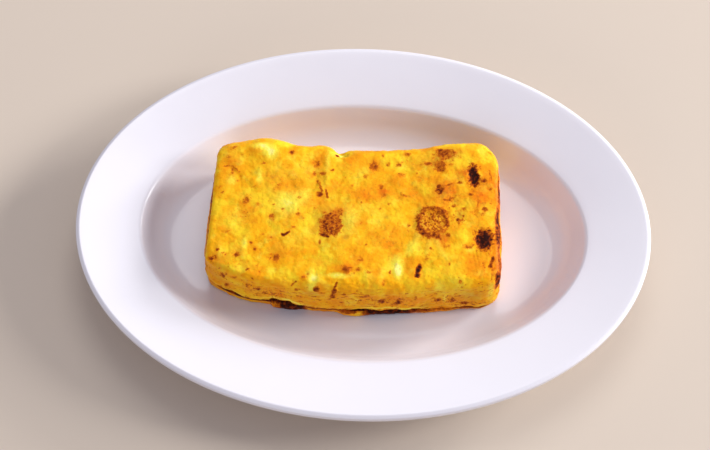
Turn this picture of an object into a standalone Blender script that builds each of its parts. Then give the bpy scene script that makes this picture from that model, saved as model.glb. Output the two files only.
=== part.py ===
"""Rolled omelette lying on its oval plate. Metres, +Z up.

The origin is the middle of the plate's foot ring, on the surface that it stands on. +X runs along the
plate's long side and along the roll, and -Y is the front, where the roll's outer layer ends in a seam.
The plate is one turned section carried round an oval. The omelette is one section, with the seam's gap
cut into it, carried along the roll and rounded off at its two ends.
"""

import math

import bmesh
import bpy
import numpy as np

# Plate. "Out" is measured from its middle along the long half-axis.
PLATE_LENGTH = 0.260
PLATE_WIDTH = 0.187
RIM_WIDTH = 0.029
RIM_TOP = 0.0245
RIM_RISE = 0.0050
WELL_DEPTH = 0.0125
WALL_RUN = 0.0092
WALL_LOW_ROUND = 0.0170
WALL_TOP_ROUND = 0.0035
SHELL = 0.0045
LIP_WIDTH = 0.0016
LIP_DROP = 0.0008
LIP_EDGE = 0.0030
LIP_ROUND = 0.0010
UNDER_RIM_OUT = 0.0022
UNDER_RIM_UP = 0.0006
UNDER_RIM_ROUND = 0.0060
UNDER_WALL_OUT = 0.0036
UNDER_WALL_DROP = 0.0024
UNDER_WALL_ROUND = 0.0120
FOOT_OUT = 0.0835
FOOT_BOTTOM_WIDTH = 0.0050
FOOT_TAPER = 0.0010
FOOT_FLARE = 0.0030
FOOT_FLARE_ROUND = 0.0040
FOOT_EDGE_ROUND = 0.0010
FOOT_TO_FLOOR_RINGS = 0.0040
FLOOR_RINGS = 4
PLATE_SPOKES = 60

# Omelette. Its x is measured from the middle of its length, and its y from the plate's middle.
ROLL_MIDDLE_X = -0.0038
ROLL_LENGTH = 0.130
ROLL_HEIGHT = 0.026
ROLL_BACK = 0.0373
ROLL_FRONT = -0.0378
ROLL_BEND = 1.8
BEND_MIDDLE = -0.0022
BACK_SHORTER = 0.011
TOP_CROWN = 0.0012
FRONT_TOP_ROUND = 0.0085
FRONT_LEAN = 0.0010
BACK_TOP_ROUND = 0.0075
BACK_LOW_ROUND = 0.0075
BACK_LEAN = 0.0035
REST_GAP = 0.0003

# The outer layer stops this high above the roll's underside, over a slot between it and the lowest layer,
# whose edge is set back a little.
SEAM_HEIGHT = 0.0058
SEAM_DEPTH = 0.0036
SEAM_GAP = 0.0014
LAYER_EDGE_ROUND = 0.0013
LAYER_SET_BACK = 0.0010
LEAST_SEAM = 0.02

# The ends: how far their rounded edge reaches in along the roll, downwards, and in at each corner.
END_ROUND_X = 0.0085
END_ROUND_Z = 0.0050
CORNER_ROUNDS = {"back_left": 0.0110, "back_right": 0.0110, "front_left": 0.0065, "front_right": 0.0035}
END_BULGE = 0.0010
FACE_NARROWS = 0.6
FACE_REACH = 0.93

SECTION_POINTS = 70
SEAM_CROWDING = 0.6
BODY_RINGS = 37
ROUND_RINGS = 4
FACE_RINGS = 3
ARC_STEP = math.radians(27)

# Bumps of the roll's two long edges: x, reach along the roll, and how far they stand out.
BACK_BUMPS = (
    (-0.0592, 0.009, -0.0045),
    (-0.0402, 0.007, 0.0016),
    (-0.0167, 0.005, 0.0014),
    (-0.0079, 0.003, -0.0018),
    (0.0418, 0.009, 0.0014),
    (0.0638, 0.005, -0.0035),
)
FRONT_BUMPS = (
    (-0.0592, 0.009, -0.0030),
    (0.0358, 0.012, -0.0006),
    (0.0590, 0.008, 0.0010),
)

# Soft lumps of its top: x, y, reach and height.
TOP_LUMPS = (
    (-0.040, 0.034, 0.011, 0.0012),
    (-0.008, 0.036, 0.006, -0.0012),
    (0.046, 0.032, 0.015, 0.0010),
    (-0.026, -0.004, 0.016, 0.0007),
    (0.024, 0.004, 0.014, -0.0007),
    (-0.002, -0.026, 0.013, 0.0008),
    (0.044, -0.020, 0.015, 0.0006),
    (-0.056, 0.008, 0.013, -0.0008),
)


def rounded_path(corners):
    """The closed path through (across, up, radius) corners, each turned into an arc of that radius."""
    count = len(corners)
    path = []
    for i, (across, up, radius) in enumerate(corners):
        here = np.array((across, up))
        before = np.array(corners[i - 1][:2]) - here
        after = np.array(corners[(i + 1) % count][:2]) - here
        room = 0.49 * min(np.linalg.norm(before), np.linalg.norm(after))
        before /= np.linalg.norm(before)
        after /= np.linalg.norm(after)
        turn = math.pi - math.acos(float(np.clip(before @ after, -1, 1)))
        if radius == 0 or turn < 1e-3:
            path.append(here)
            continue
        reach = min(radius * math.tan(turn / 2), room)
        radius = reach / math.tan(turn / 2)
        bisector = (before + after) / np.linalg.norm(before + after)
        centre = here + bisector * radius / math.cos(turn / 2)
        start = here + before * reach - centre
        to_corner = here - centre
        side = math.copysign(1, start[0] * to_corner[1] - start[1] * to_corner[0])
        steps = max(1, round(turn / ARC_STEP))
        for step in range(steps + 1):
            angle = side * turn * step / steps
            c, s = math.cos(angle), math.sin(angle)
            path.append(centre + np.array((start[0] * c - start[1] * s, start[0] * s + start[1] * c)))
    return np.array(path)


def object_from_rings(name, rings, material, first_pole, last_pole):
    """A closed object whose skin joins each ring of points to the next, and the end rings to their poles."""
    shape = bmesh.new()
    loops = [[shape.verts.new(point) for point in ring] for ring in rings]
    around = len(loops[0])
    for one, other in zip(loops, loops[1:]):
        for i in range(around):
            j = (i + 1) % around
            shape.faces.new((one[i], one[j], other[j], other[i]))
    for pole, loop in ((first_pole, loops[0]), (last_pole, loops[-1])):
        tip = shape.verts.new(pole)
        for i in range(around):
            shape.faces.new((tip, loop[i], loop[(i + 1) % around]))
    bmesh.ops.recalc_face_normals(shape, faces=shape.faces)
    mesh = bpy.data.meshes.new(name)
    shape.to_mesh(mesh)
    shape.free()
    mesh.materials.append(material)
    mesh.shade_smooth()
    mesh.set_sharp_from_angle(angle=math.radians(40))
    made = bpy.data.objects.new(name, mesh)
    bpy.context.scene.collection.objects.link(made)
    return made


def surface(name, colour, roughness):
    material = bpy.data.materials.new(name)
    material.use_nodes = True
    shader = material.node_tree.nodes["Principled BSDF"]
    shader.inputs["Base Color"].default_value = (*colour, 1)
    shader.inputs["Roughness"].default_value = roughness
    shader.inputs["Metallic"].default_value = 0
    return material


def floor_height():
    return RIM_TOP - RIM_RISE - WELL_DEPTH


def plate_section():
    """The plate's section from its floor out over wall, rim and lip, and back under them to the foot ring."""
    half = PLATE_LENGTH / 2
    floor = floor_height()
    rim_in = half - RIM_WIDTH
    inner_up = floor + WELL_DEPTH
    under = floor - SHELL
    foot_in = FOOT_OUT - FOOT_TAPER - FOOT_BOTTOM_WIDTH
    flat_out = foot_in - FOOT_TAPER - FOOT_TO_FLOOR_RINGS
    return rounded_path((
        (flat_out, floor, 0),
        (rim_in - WALL_RUN, floor, WALL_LOW_ROUND),
        (rim_in, inner_up, WALL_TOP_ROUND),
        (half - LIP_WIDTH, RIM_TOP, LIP_ROUND),
        (half, RIM_TOP - LIP_DROP, LIP_ROUND),
        (half, RIM_TOP - LIP_DROP - LIP_EDGE, LIP_ROUND),
        (rim_in + UNDER_RIM_OUT, inner_up - SHELL + UNDER_RIM_UP, UNDER_RIM_ROUND),
        (rim_in - WALL_RUN + UNDER_WALL_OUT, floor - UNDER_WALL_DROP, UNDER_WALL_ROUND),
        (FOOT_OUT + FOOT_FLARE, under + FOOT_EDGE_ROUND, FOOT_FLARE_ROUND),
        (FOOT_OUT - FOOT_TAPER, 0, FOOT_EDGE_ROUND),
        (foot_in, 0, FOOT_EDGE_ROUND),
        (foot_in - FOOT_TAPER, under, FOOT_EDGE_ROUND),
        (flat_out, under, 0),
    ))


def oval(out, up, floor_edge):
    """The oval ring at one point of the section. Bands outside floor_edge are as wide all round, and
    inside it the ovals shrink in proportion to the plate's middle."""
    difference = (PLATE_LENGTH - PLATE_WIDTH) / 2
    short = out - difference if out >= floor_edge else out * (floor_edge - difference) / floor_edge
    turn = np.arange(PLATE_SPOKES) * 2 * math.pi / PLATE_SPOKES
    return np.stack((out * np.cos(turn), short * np.sin(turn), np.full(PLATE_SPOKES, up)), axis=1)


def plate():
    section = plate_section()
    floor_edge, floor = section[0]
    under = section[-1][1]
    rings = [oval(out, up, floor_edge) for out, up in section]
    shares = np.arange(1, FLOOR_RINGS) / FLOOR_RINGS
    top = [oval(floor_edge * share, floor, floor_edge) for share in shares]
    bottom = [oval(floor_edge * share, under, floor_edge) for share in shares[::-1]]
    glaze = surface("glazed_white", (0.88, 0.88, 0.90), 0.12)
    return object_from_rings("plate", top + rings + bottom, glaze, (0, 0, floor), (0, 0, under))


def roll_section(seam_open):
    """Across and up of the roll's section, from the seam's inner end over the outer layer's lower edge,
    front, top, back and underside to the lowest layer's edge. Points lie closer together at the seam."""
    depth = SEAM_DEPTH * seam_open
    gap = SEAM_GAP * seam_open
    edge = LAYER_EDGE_ROUND * seam_open
    path = rounded_path((
        (ROLL_FRONT + depth, SEAM_HEIGHT, 0),
        (ROLL_FRONT, SEAM_HEIGHT + gap * 0.6, edge),
        (ROLL_FRONT + FRONT_LEAN, ROLL_HEIGHT, FRONT_TOP_ROUND),
        (ROLL_BACK, ROLL_HEIGHT, BACK_TOP_ROUND),
        (ROLL_BACK - BACK_LEAN, 0, BACK_LOW_ROUND),
        (ROLL_FRONT + LAYER_SET_BACK, 0, LAYER_EDGE_ROUND),
        (ROLL_FRONT + LAYER_SET_BACK / 2, SEAM_HEIGHT - gap * 0.4, edge),
    ))
    loop = np.vstack((path, path[:1]))
    along = np.concatenate(([0], np.cumsum(np.linalg.norm(np.diff(loop, axis=0), axis=1))))
    share = np.arange(SECTION_POINTS) / SECTION_POINTS
    share -= SEAM_CROWDING * np.sin(2 * math.pi * share) / (2 * math.pi)
    return np.stack([np.interp(share * along[-1], along, loop[:, k]) for k in (0, 1)], axis=1)


def edge_bumps(x, bumps):
    """How far a long edge stands out at x, as a sum of bells."""
    return sum(out * math.exp(-(((x - middle) / reach) ** 2)) for middle, reach, out in bumps)


def top_lumps(x, y):
    """Height of the top's soft lumps over a place, as a sum of bells."""
    return sum(
        height * np.exp(-((x - middle_x) ** 2 + (y - middle_y) ** 2) / reach**2)
        for middle_x, middle_y, reach, height in TOP_LUMPS
    )


def long_edges(x):
    """Front and back y of the roll at x: both follow one bend, whose ends lie further back."""
    bend = ROLL_BEND * (x - BEND_MIDDLE) ** 2
    return ROLL_FRONT + bend - edge_bumps(x, FRONT_BUMPS), ROLL_BACK + bend + edge_bumps(x, BACK_BUMPS)


def roll_ring(x, round_share, face_share):
    """One ring of the roll. round_share goes 0 to 1 over an end's rounded edge, and face_share over its face."""
    section = roll_section(max(LEAST_SEAM, 1 - round_share))
    end = "left" if x < 0 else "right"
    half_up = ROLL_HEIGHT / 2
    across, up = section.T
    sides = (across - (ROLL_BACK + ROLL_FRONT) / 2) / ((ROLL_BACK - ROLL_FRONT) / 2)
    up = up + TOP_CROWN * (up / ROLL_HEIGHT) * (1 - sides**2)
    front, back = long_edges(x)
    front += CORNER_ROUNDS["front_" + end] * round_share
    back -= CORNER_ROUNDS["back_" + end] * round_share
    middle = (front + back) / 2
    outline = middle + sides * (back - front) / 2
    up = up + (up / ROLL_HEIGHT) * top_lumps(x, outline)
    z = half_up + (up - half_up) * (1 - END_ROUND_Z * round_share / half_up) * (1 - face_share)
    y = middle + (outline - middle) * (1 - FACE_NARROWS * face_share)
    outwards = math.copysign(END_BULGE * (1 - (1 - face_share) ** 2), x)
    along = (x + outwards) * (1 - BACK_SHORTER * sides)
    return np.stack((ROLL_MIDDLE_X + along, y, floor_height() + REST_GAP + z), axis=1)


def rolled_omelette():
    half = ROLL_LENGTH / 2
    straight = half - END_ROUND_X
    rings = [roll_ring(x, 0, 0) for x in np.linspace(-straight, straight, BODY_RINGS)]
    for side in (-1, 1):
        angles = np.linspace(0, math.pi / 2, ROUND_RINGS + 1)[1:]
        edge = [roll_ring(side * (straight + END_ROUND_X * math.sin(a)), 1 - math.cos(a), 0) for a in angles]
        face = [roll_ring(side * half, 1, share) for share in np.linspace(0, FACE_REACH, FACE_RINGS + 1)[1:]]
        end = edge + face
        rings = rings + end if side > 0 else end[::-1] + rings
    egg = surface("cooked_egg", (0.90, 0.52, 0.03), 0.45)
    return object_from_rings("rolled_omelette", rings, egg, rings[0].mean(axis=0), rings[-1].mean(axis=0))


def main():
    for old in list(bpy.data.objects):
        bpy.data.objects.remove(old)
    plate()
    rolled_omelette()


main()
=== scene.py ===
import itertools
import math

import bpy
import numpy as np
from bpy.props import FloatProperty, FloatVectorProperty, PointerProperty
from mathutils import Matrix, Vector


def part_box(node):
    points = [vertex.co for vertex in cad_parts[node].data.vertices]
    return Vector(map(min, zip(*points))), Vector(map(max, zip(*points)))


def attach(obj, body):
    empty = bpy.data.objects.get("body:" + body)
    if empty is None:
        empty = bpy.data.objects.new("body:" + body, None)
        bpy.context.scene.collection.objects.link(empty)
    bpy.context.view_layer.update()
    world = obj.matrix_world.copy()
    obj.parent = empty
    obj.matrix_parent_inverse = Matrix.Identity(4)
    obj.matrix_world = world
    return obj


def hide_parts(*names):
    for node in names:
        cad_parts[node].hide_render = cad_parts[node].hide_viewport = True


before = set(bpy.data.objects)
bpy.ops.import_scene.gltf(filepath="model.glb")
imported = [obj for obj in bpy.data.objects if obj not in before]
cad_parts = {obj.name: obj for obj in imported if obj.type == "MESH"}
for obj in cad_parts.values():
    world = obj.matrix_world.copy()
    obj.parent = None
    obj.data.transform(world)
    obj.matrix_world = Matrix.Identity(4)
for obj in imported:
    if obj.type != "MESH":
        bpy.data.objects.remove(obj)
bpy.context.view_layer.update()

# A rolled omelette on its oval plate. Metres, +Z up: +X runs along the plate and the roll, and -Y is the
# front, where the roll's outer layer ends in a seam. Marks on the egg's skin are listed in millimetres.

bl_info = {
    "name": "Rolled omelette on an oval plate",
    "version": (1, 0, 0),
    "blender": (4, 5, 0),
    "location": "3D View > Sidebar > Omelette",
    "description": "Builds a glazed oval plate, a browned rolled omelette on it, and a pale studio",
    "category": "Object",
}

PLATE_LOW, PLATE_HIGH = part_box("plate")
ROLL_LOW, ROLL_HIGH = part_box("rolled_omelette")
TO_MM = 1000.0

# Plate section, measured outwards along the plate's long half-axis.
WALL_LOW_ROUND = 0.0170
WALL_TOP_ROUND = 0.0035
LIP_WIDTH = 0.0016
LIP_DROP = 0.0008
LIP_EDGE = 0.0030
LIP_ROUNDS = (0.0016, 0.0009, 0.0012)
UNDER_RIM_OUT = 0.0022
UNDER_RIM_UP = 0.0006
UNDER_RIM_ROUND = 0.0060
UNDER_WALL_OUT = 0.0036
UNDER_WALL_DROP = 0.0024
UNDER_WALL_ROUND = 0.0120
FOOT_FLARE = 0.0030
FOOT_FLARE_UP = 0.0010
FOOT_FLARE_ROUND = 0.0040
FOOT_EDGE_ROUND = 0.0010
FOOT_BOTTOM_WIDTH = 0.0050
FOOT_TAPER = 0.0010
FOOT_TO_FLOOR_RINGS = 0.0040
PLATE_SPOKES = 288
FLOOR_RINGS = 40

# Roll: its bend, the shape of its section and how its ends round over and close. END_SQUARE is the power
# that keeps an end's top and underside level until close to the end, and drops them late and steeply.
BEND = 1.8
BEND_MIDDLE = -0.0022
BACK_SHORTER = 0.011
TOP_CROWN = 0.0012
FRONT_LEAN = 0.0010
BACK_TOP_ROUND = 0.0075
BACK_LOW_ROUND = 0.0075
BACK_LEAN = 0.0035
LAYER_EDGE_ROUND = 0.0013
LAYER_SET_BACK = 0.0010
END_ROUND_X = 0.0085
END_ROUND_Z = 0.0050
END_SQUARE = 3.0
CORNER_ROUNDS = {"back_left": 0.0110, "back_right": 0.0110, "front_left": 0.0065, "front_right": 0.0035}
END_BULGE = 0.0010
FACE_NARROWS = 0.6
FACE_CLOSES = 0.93
BODY_RINGS = 240
ROUND_RINGS = 16
FACE_RINGS = 22

# Points along each stretch of the roll's section: the arcs at its corners and the sides after them.
SEAM_IN, LIP_UNDER, LIP_ARC, FRONT_SIDE, FRONT_ARC, TOP_SIDE = 1, 5, 7, 20, 26, 118
BACK_ARC, BACK_SIDE, LOW_ARC, UNDER_SIDE, FOOT_ARC, LAYER_SIDE, LAYER_ARC = 24, 20, 12, 28, 6, 6, 6
TOP_START = SEAM_IN + LIP_UNDER + LIP_ARC + FRONT_SIDE + FRONT_ARC
TOP_END = TOP_START + TOP_SIDE
UNDER_START = TOP_END + BACK_ARC + BACK_SIDE + LOW_ARC
LAYER_START = UNDER_START + UNDER_SIDE

# Bumps of the roll's two long edges: x, reach along the roll, and how far they stand out.
BACK_BUMPS = (
    (-0.0592, 0.009, -0.0045),
    (-0.0402, 0.007, 0.0016),
    (-0.0167, 0.005, 0.0014),
    (-0.0079, 0.003, -0.0018),
    (0.0418, 0.009, 0.0014),
    (0.0638, 0.005, -0.0035),
)
FRONT_BUMPS = (
    (-0.0592, 0.009, -0.0030),
    (0.0358, 0.012, -0.0006),
    (0.0590, 0.008, 0.0010),
)

# Soft lumps of its top: x, y, reach and height.
TOP_LUMPS = (
    (-0.040, 0.034, 0.011, 0.0012),
    (-0.008, 0.036, 0.006, -0.0012),
    (0.046, 0.032, 0.015, 0.0010),
    (-0.026, -0.004, 0.016, 0.0007),
    (0.024, 0.004, 0.014, -0.0007),
    (-0.002, -0.026, 0.013, 0.0008),
    (0.044, -0.020, 0.015, 0.0006),
    (-0.056, 0.008, 0.013, -0.0008),
)

# Radius of the rounding from its top to its front, in millimetres: x and radius.
FRONT_ROUNDS = ((-66, 2.2), (-50, 2.2), (-36, 3.2), (-22, 4.6), (0, 5.6), (30, 5.0), (66, 4.0))

# The seam along the roll, in millimetres: x, height of the outer layer's edge over the underside, gap
# below that edge, depth of the gap, and how far the lowest layer is set back there.
SEAM = (
    (-66, 6.2, 0.8, 2, 0.4), (-57, 6.2, 0.9, 2.5, 0.4), (-50, 6.4, 0.9, 2.5, 0.2),
    (-44, 6.8, 1, 2.5, 0.8), (-39.5, 7.4, 1.2, 3, 1.4), (-36.2, 8.2, 1.4, 3, 1.4),
    (-34.8, 10.8, 7, 7, 0.3), (-27, 10.6, 7.2, 7, 0), (-25.5, 8.8, 3.2, 4, 0), (-23, 7, 1.2, 3, 0.8),
    (-15, 6.6, 1, 2.5, 0.8), (-7, 6.4, 0.8, 2.5, 0.8), (-3, 6, 0.8, 2.5, -0.6), (2, 5.8, 1.4, 4, -1),
    (8, 6.8, 3.6, 4.5, -0.2), (14, 7.2, 4.8, 4.5, 0.4), (20, 6.8, 4.2, 4, 0.5), (24, 4.8, 1, 2.5, 0.3),
    (34, 4, 0.6, 2, -0.3), (42, 3.8, 0.6, 2, -0.3), (48, 4, 0.6, 2, 0.4), (60, 4, 0.6, 2, 0.5),
)

# How brown the lowest layer is along the roll, with painted shade in the seam's gap: x and strength.
LAYER_BROWN_AND_SHADE = (
    (-66, 0.1), (-57, 0.12), (-44, 0.16), (-39, 0.3), (-36, 0.5), (-35, 1), (-26, 1), (-24.6, 0.6),
    (-23, 0.2), (-15, 0.16), (-6, 0.12), (0, 0.14), (4, 0.8), (7, 1), (21, 1), (24, 0.5), (32, 0.28),
    (40, 0.26), (48, 0.36), (60, 0.28),
)

# Painted shade under the outer layer's edge, where the lowest layer lies in the gap: x, how far below
# that edge it reaches in millimetres, and how dark it is.
SEAM_PAINTED_SHADE = (
    (-66, 1, 0.2), (-62, 1.8, 0.7), (-57, 2.2, 0.8), (-44, 3.4, 0.85), (-38, 4.6, 0.9), (-24, 2.6, 0.75),
    (-15, 2.8, 0.55), (-5, 2.2, 0.5), (0, 1.2, 0.4), (24, 2.2, 0.7), (34, 1.4, 0.35), (42, 1.4, 0.4),
    (50, 2.2, 0.75), (60, 2, 0.4),
)

# Painted highlight along the outer layer's rolled edge: x and strength.
LIP_HIGHLIGHT = (
    (-66, 0.1), (-60, 0.25), (-44, 0.3), (-38, 0.7), (-29, 1), (-24, 0.4), (-12, 0.2), (-1, 0.25),
    (3, 0.6), (22, 0.7), (32, 0.25), (50, 0.4), (62, 0.1),
)

# The larger marks on the top in millimetres: x, y, half-widths along x and y, and how burnt. 0.35 is
# orange brown, 0.6 brown and 1 near black. The smaller ones are scattered by SCATTERED.
TOP_SPOTS = (
    (-60, 32, 1.5, 1, 0.35), (-62, 27, 1.5, 1, 0.3), (-52.5, 5, 1.5, 2, 0.4), (-53, -1, 1.5, 1, 0.3),
    (-40.5, -3, 1, 1.5, 0.45), (-29, -1.5, 1, 1, 0.4), (-22, 25, 1.5, 1.5, 0.45), (-23, 20, 1, 1.5, 0.4),
    (-20, 9, 1, 1, 0.7), (-13, 31, 1, 0.5, 0.8), (4, 25, 1.5, 2, 0.5), (15, 26.5, 1, 1, 0.45),
    (16.5, 21, 1.5, 1, 0.4), (9, 10, 1, 1, 0.35), (28, 27, 2, 1, 0.5), (33.5, 34, 1.5, 1, 0.75),
    (39, 33.5, 2, 1.5, 0.4), (34, 26, 1.5, 1.5, 0.55), (34, 14, 1.5, 2, 0.8), (39.5, 10, 1, 1, 0.45),
    (43.5, -1, 1.5, 1.5, 0.45), (53.5, 19.5, 1, 1, 0.6), (54.5, 5, 1, 1, 0.55), (47, -14, 1.5, 1, 0.5),
    (37.5, -14, 1.5, 1, 0.35), (-6, -27.5, 2, 1.5, 0.5), (-37.5, -23, 1, 1.5, 0.6),
    (-55, -22, 1, 1, 0.55), (-49, -16, 0.5, 0.5, 0.6), (-66, -24, 1, 1, 0.5), (-19, -37, 1, 1, 0.7),
)

# Streaks on the top: from x, y to x, y, half-width and how burnt.
TOP_STREAKS = (
    (-64, 22, -60, 22.5, 0.4, 0.4), (-60, 22.5, -57, 19.5, 0.4, 0.4), (-21, 16, -19, 11, 0.6, 0.5),
    (-17, 11.5, -16.5, 8, 0.5, 0.7), (-35, -12, -32.5, -10.5, 0.5, 0.85), (26, -24, 25, -29, 0.9, 1),
    (58.5, -19, 57, -23, 0.7, 0.75), (54, -21, 55, -27, 0.4, 0.38), (58.5, -24, 58, -29, 0.4, 0.36),
    (56, 25, 57, 20, 0.4, 0.42), (51, 11.5, 51.5, 6, 0.4, 0.38), (36.5, 16, 39.5, 17.5, 0.5, 0.46),
    (36, 9, 39.5, 9, 0.7, 0.46), (-10, -34, -11.5, -38.5, 0.5, 0.6), (-30, -36, -28.5, -34, 0.4, 0.48),
)

# Small marks scattered by chance, as the arguments of random_marks: over the top, its front left corner
# and its right third, and then over the front.
SCATTERED = (
    (71, 70, (-65, 58), (-34, 34), (0.45, 1.3), (0.28, 0.52)),
    (73, 14, (-66, -44), (-36, -18), (0.40, 1.0), (0.34, 0.62)),
    (74, 16, (18, 58), (-2, 30), (0.45, 1.2), (0.30, 0.52)),
)
FRONT_SCATTERED = (72, 26, (-64, 60), (6, 22), (0.40, 1.2), (0.28, 0.52))

# Charred ovals: x, y, half-widths and turn in degrees.
CHARRED = (
    (54.4, -10, 3.9, 5.2, 0), (48.9, 23.4, 2.1, 3.6, 0), (49.3, 19.8, 2.5, 3.7, 10),
)

# Soft brown areas of the top and, after them, of the front: x, y, half-widths and how burnt.
SEARED = (
    (36, 32.6, 4.8, 3.2, 0.72), (33.8, 25.6, 3.2, 3.4, 0.66), (33.6, 13.2, 2.6, 3.2, 0.44),
    (44.5, 23, 3.6, 3.2, 0.2), (62.4, 8, 2.2, 20, 0.4), (61.8, -20, 2.2, 12, 0.44),
    (24.8, -2.6, 2, 5, 0.22),
)
FRONT_SEARED = (
    (-36, 13, 8, 6, 0.22), (12, 15, 9, 5, 0.24), (38, 18, 7, 4, 0.22), (48, 22, 5, 2.5, 0.36),
    (-10, 18, 10, 4, 0.16),
)

# The brown patch left of the top's middle, its paler lobe, and the brown ring to the right with the
# raised rim under it: middle x and y, and half-widths.
PATCH = (-14.4, -5.2, 5, 6.4)
PATCH_LOBE = ((-11, 0.8, 2.6, 2.6, 1),)
RING = (31, -2.4, 7.3, 8.2)
RING_RIM = (31, -2, 7.3, 8)

# Nearly black bits of the brown patch left of the middle: x, y, half-widths and how burnt.
PATCH_BITS = (
    (-17.3, -10.7, 1.5, 1, 0.95), (-15.6, -11.5, 0.9, 0.6, 0.9), (-11.5, -6.4, 0.9, 1, 0.82),
    (-14, -4.8, 1.9, 0.5, 0.74), (-11.8, -10.2, 0.7, 0.5, 0.86), (-16.1, -8.3, 1.9, 1, 0.74),
    (-14.2, -2.6, 1.6, 0.5, 0.7), (-12, -0.6, 1.2, 0.5, 0.52),
)

# Dark bits of the brown ring's rim, as above.
RING_BITS = (
    (33.9, -9.9, 0.9, 0.8, 0.9), (35.2, -10.9, 0.8, 0.6, 0.82), (38.3, -8.7, 0.8, 0.9, 0.72),
    (29.6, -8.3, 2.4, 0.9, 0.62), (36.7, -3, 1, 1.6, 0.64), (24.9, -3.4, 0.9, 2.4, 0.66),
    (26.6, 1.6, 1, 1.2, 0.6),
)

# Where the skin is broken up into fine dark and light specks: x, y, half-widths and strength.
SPECKLED = (
    (-14.5, -5, 5.4, 7, 0.7), (31, -2.4, 9, 9, 0.62), (54.4, -10, 5, 6.4, 0.2),
    (49.3, 21.5, 4.2, 6, 0.25), (37, 32, 5, 3.4, 0.45), (34.3, 26, 3, 3.4, 0.3),
    (33.8, 13, 2.2, 3.2, 0.6), (42.5, 1, 3, 3.2, 0.8), (-65, -26, 3.4, 5, 0.8), (-50, -25, 9, 4, 0.45),
    (52, -30, 9, 8, 0.45), (38, 14, 4, 5, 0.35),
)
FRONT_SPECKLED = (
    (-62, 10, 5, 6, 0.5), (-42, 13, 9, 4, 0.6), (-10, 12, 24, 6, 0.35), (40, 18, 9, 5, 0.55),
    (16, 16, 8, 5, 0.4),
)

# The larger marks on the front in millimetres: x, how far down from where the top starts to round over,
# half-widths and how burnt.
FRONT_SPOTS = (
    (10, 14.5, 1.5, 2, 0.7), (17, 16, 1.5, 1.5, 0.65), (35, 17, 1.5, 1.5, 0.6), (41, 17.5, 1, 2, 0.6),
    (3, 10, 1, 1, 0.5), (47, 21.5, 2, 1, 0.75), (-45, 10, 1.5, 1, 0.55), (-38, 13, 1, 1, 0.55),
    (-61, 8, 1, 1.5, 0.6), (-60, 17, 1, 1.5, 0.5), (-24.5, 20.5, 1, 0.5, 0.56), (-21, 22, 1, 0.5, 0.58),
    (-12, 23.5, 2, 0.5, 0.55), (44, 23, 2.5, 0.5, 0.44), (54, 21, 2.5, 0.5, 0.36),
)

# Streaks on the front: from x, down to x, down, half-width and how burnt.
FRONT_STREAKS = (
    (-11, 6, -12, 12, 0.9, 0.65), (-52, 6, -38, 12, 0.9, 0.26), (-7, 8.5, 2, 8, 0.35, 0.34),
    (-10, 13.5, -5, 10, 0.35, 0.34), (-3, 14, 6, 12.5, 0.35, 0.32), (-1, 16.5, 5.5, 17, 0.3, 0.32),
)

# Soft fields of colour on the top: x, y, half-widths and strength.
ORANGE_FIELDS = (
    (-61, 25, 5.5, 9, 0.6), (-37, 16, 9, 8, 0.6), (-22, 20, 5, 9, 0.55), (-5, 25, 6, 6, 0.45),
    (-52, 2, 4, 4, 0.4), (3.5, 24.5, 2.2, 3.4, 1), (38, 13, 5.5, 7, 1), (52.5, 11, 5, 6, 1),
    (44.5, 23, 4, 3.6, 1), (56.5, 20, 4, 6, 0.8), (60.5, 8, 2.5, 22, 0.9), (59.5, -22, 3, 12, 0.75),
    (50, 0, 5, 7, 0.55), (31, -2, 6.5, 7, 0.7), (35, -11, 4, 3, 0.7), (30, 30, 9, 5, 0.55),
    (10, -8, 9, 6, 0.4), (9, 13, 12, 7, 0.4), (-3, 9, 5, 4, 0.35), (25, 19, 3, 2.5, 0.7),
    (22.5, 12, 3, 3, 0.75), (9, 11.5, 2.5, 2.5, 0.75), (0, 9, 2.5, 2, 0.4), (17, 10, 2.5, 2, 0.45),
    (12, -14.5, 5, 2.5, 0.65), (-6.5, -26.5, 3, 2.5, 0.7), (-33, -21, 4, 3.5, 0.45),
    (50, -22, 9, 6, 0.45), (36, -10.5, 3, 2, 0.6), (4, -22, 9, 6, 0.3),
)
# The pale fields and streaks are partly lemon patches of the egg and partly painted highlights on its
# ridges, bumps and the step at the notch.
PALE_AND_HIGHLIGHT_FIELDS = (
    (-43, 29.5, 3.4, 3.2, 1), (-47.5, 33, 4.5, 2, 0.9), (-47.5, 17, 1.3, 3.6, 0.75),
    (-34, 4, 7, 6.5, 0.8), (-60, 15, 2.6, 2.8, 0.6), (-52, -16.5, 1.6, 2.8, 0.8),
    (-20.5, -32, 2.6, 2.8, 1), (-10, -30.5, 5, 1.2, 0.9), (-63, -20, 1.4, 5.5, 0.3),
    (-12, 31.5, 3.2, 1.6, 0.95), (-17, 26, 1.6, 9, 0.45), (-6, -3, 4.5, 9, 0.5), (-57, -4, 7, 7, 0.3),
    (-30, -13, 9, 5, 0.3), (16, -24.5, 3.2, 4.8, 0.9), (17, -28, 1.6, 2.8, 0.7), (54, 33, 4, 3.6, 0.3),
    (48, -15, 2.2, 2.2, 0.5), (-26, 9, 4, 4, 0.35), (5, 2, 5, 4, 0.3),
)
PALE_AND_HIGHLIGHT_STREAKS = (
    (21, -18.5, 25, -9, 1.5, 0.38), (29, -18, 30.5, -10.5, 1.3, 0.32), (36.5, -19, 33.5, -12, 1.4, 0.35),
)
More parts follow.
